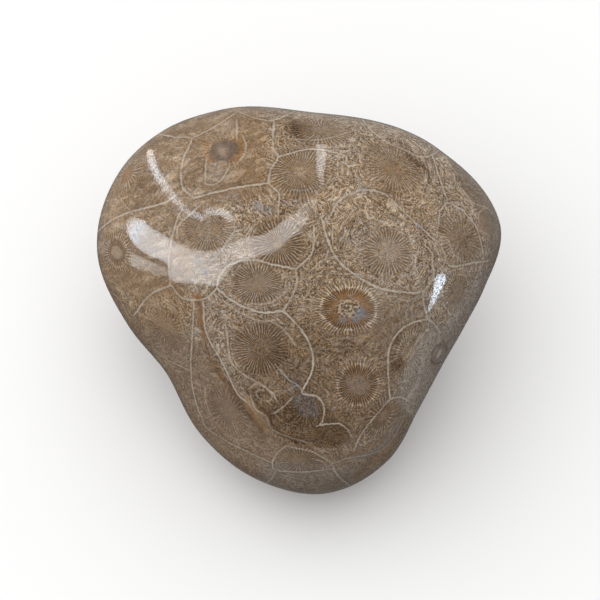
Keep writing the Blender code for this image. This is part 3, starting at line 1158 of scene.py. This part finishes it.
# Curved soft boxes, placed where the stone mirrors them into the photograph's highlights. Each is
# a row of cuts: the brightness, a pixel on one edge, and the pixel across from it on the other.
LAMP_DISTANCE = 60.0  # so near that each shows once, also where the stone is a little hollow
HOOD_MOUTH = 15.0  # how near to the stone a lamp's hood comes
LAMPS = {
    "left_streak":
        "5 147.5,150 152.5,149; 8 147.5,160 154.5,157; 10.2 151.5,171 158,167; 9.5 157.5,182 164,178; "
        "7.9 166,194 172,190; 8.2 174.5,204 180,199.5; 10 184,212 188.5,209; 11 194,217 198,213; "
        "10 202,221 204.5,217",
    "fan_veil": "7 203,217 203,211; 8 213,215 213,208; 8 223,217 226,210; 5 231,223 236,218",
    "window":
        "5.2 134,217.5 126,223; 13 142,221 129,236; 9 150,227 137,247; 9 160,233 150,256; "
        "8.8 168,238 167,263; 8 171,240 171,280; 7.4 184,246 186,283; 6.5 198,251 201,284; "
        "5.4 212,251 217,286; 4.8 221,249 227,272; 5.4 232,243 239,262; 6.2 245,237 252,258; "
        "6 258,236 263,255; 4.8 270,231 277,250; 6 280,223 287,241; 6.4 288,218 298,231; "
        "5 295,213.5 306,221; 3.6 302,206 311,211; 2.8 308,199 314.5,202; 1.8 313,194 317,196; "
        "1.4 316,190 320,191",
    "window_bar":
        "4.6 317,144 325.5,144; 7 316.5,158 326,158; 7.4 316.5,170 324.5,170; 5 318.5,178 323.5,178; "
        "4 320.5,184 322.5,184",
    "right_glint":
        "7.5 438,273 443,273.5; 17 435,278 446.5,279; 19 434.5,284 444,284.5; 17 433,291 439.5,292; "
        "14.5 431.5,299 436,300.5; 17 429,307 431.5,308; 12 427.8,311 428.8,311.5",
    "top_veil": "1.2 220,121 237,121; 0.9 219,137 238,137",
    "core_veil": "0.9 208,162 227,161; 1 206,183 226,181",
    "low_veil":
        "4 131,252 129.5,258; 4.6 138,256 134,268; 4 148,260 145,270; 3.4 158,265 155,275; "
        "2.8 168,268 167,276",
}
DIM_TINT = (1.0, 1.0, 1.0)
BRIGHT_TINT = (0.82, 0.98, 1.17)  # of the lamps' brightest parts
BRIGHT_FROM, BRIGHT_TO = 6.0, 12.5  # brightness over which the one tint gives way to the other
LAMP_ROWS = 4.0  # pixels between a lamp's rows of points
LAMP_COLUMNS = 7  # points in each row
NORMAL_REACH = 2.0  # pixels from a place to those that its normal is taken from


def smooth_normal(stone, px, py):
    """The surface's normal at a pixel, from the places that four pixels round it show."""
    east, west = (stone.cast(px + step, py)[0] for step in (NORMAL_REACH, -NORMAL_REACH))
    south, north = (stone.cast(px, py + step)[0] for step in (NORMAL_REACH, -NORMAL_REACH))
    normal = np.cross(east - west, north - south)
    return normal / np.linalg.norm(normal)


def mirrored_places(stone, px, py):
    """Along the way in which the stone mirrors the photograph's view at a pixel: the place of a lamp,
    and the place of its hood's mouth."""
    place = stone.cast(px, py)[0]
    normal = smooth_normal(stone, px, py)
    look = place - stone.camera
    look /= np.linalg.norm(look)
    away = look - 2 * (look @ normal) * normal
    return (place + away * LAMP_DISTANCE) * MM, (place + away * HOOD_MOUTH) * MM


def lamp_material(name, dim, bright):
    """A glow as strong as the mesh's brightness says, with one tint where dim and another where bright."""
    material = bpy.data.materials.new(name)
    material.use_nodes = True
    tree = material.node_tree
    tree.nodes.clear()
    n = Nodes(tree)
    brightness = n.made("ShaderNodeAttribute", {}, "Fac", attribute_name="brightness")
    tint = n.mix(n.step(brightness, BRIGHT_FROM, BRIGHT_TO), dim, bright)
    glow = n.made("ShaderNodeEmission", {"Color": tint, "Strength": brightness})
    n.feed(n.add("ShaderNodeOutputMaterial").inputs["Surface"], glow)
    return material


def make_sheet(name, points, faces, brightness, dim, bright):
    """A glowing sheet that only the polish sees."""
    mesh = bpy.data.meshes.new(name)
    mesh.from_pydata(points, [], faces)
    mesh.attributes.new("brightness", "FLOAT", "POINT").data.foreach_set("value", brightness)
    mesh.materials.append(lamp_material(name, dim, bright))
    sheet = bpy.data.objects.new(name, mesh)
    sheet.visible_camera = False
    sheet.visible_diffuse = False
    sheet.visible_shadow = False
    bpy.context.scene.collection.objects.link(sheet)


def sheet_edge(rows):
    """The points round the edge of a sheet of rows, in order."""
    last = rows - 1
    top = list(range(LAMP_COLUMNS))
    right = [r * LAMP_COLUMNS + LAMP_COLUMNS - 1 for r in range(1, rows)]
    bottom = [last * LAMP_COLUMNS + c for c in range(LAMP_COLUMNS - 2, -1, -1)]
    left = [r * LAMP_COLUMNS for r in range(last - 1, 0, -1)]
    return top + right + bottom + left


def make_lamps(stone):
    """The lamps, each with a hood that is as dim as the room and keeps it to the photograph's side."""
    for name, text in LAMPS.items():
        cuts = [(*a, *b, bright) for bright, (a, b) in table(text, ";")]
        rows = np.array(curve_through(cuts, LAMP_ROWS))
        points, mouth, brightness = [], [], []
        for x1, y1, x2, y2, bright in rows:
            for share in np.linspace(0, 1, LAMP_COLUMNS):
                places = mirrored_places(stone, x1 + (x2 - x1) * share, y1 + (y2 - y1) * share)
                points.append(places[0])
                mouth.append(places[1])
                brightness.append(bright)
        faces = [
            (r + c, r + c + 1, r + c + 1 + LAMP_COLUMNS, r + c + LAMP_COLUMNS)
            for r in range(0, (len(rows) - 1) * LAMP_COLUMNS, LAMP_COLUMNS)
            for c in range(LAMP_COLUMNS - 1)
        ]
        make_sheet(name, points, faces, brightness, DIM_TINT, BRIGHT_TINT)
        edge = sheet_edge(len(rows))
        count = len(edge)
        sides = [(k, (k + 1) % count, count + (k + 1) % count, count + k) for k in range(count)]
        hood = [points[k] for k in edge] + [mouth[k] for k in edge]
        make_sheet(name + "_hood", hood, sides, [1.0] * len(hood), ROOM_REFLECTION, ROOM_REFLECTION)


def make_camera(stone):
    """A camera where the photograph's was, with the photograph's scale."""
    data = bpy.data.cameras.new("photo_camera")
    data.sensor_width = SENSOR_WIDTH
    data.lens = PX_PER_MM * CAMERA_DISTANCE * SENSOR_WIDTH / PHOTO_SIDE
    camera = bpy.data.objects.new("photo_camera", data)
    camera.location = Vector(stone.camera * MM)
    camera.rotation_euler = Vector(OUT).to_track_quat("Z", "Y").to_euler()
    bpy.context.scene.collection.objects.link(camera)
    bpy.context.scene.camera = camera


def main():
    stone = make_stone()
    make_floor()
    make_world()
    make_lamps(stone)
    make_camera(stone)


main()
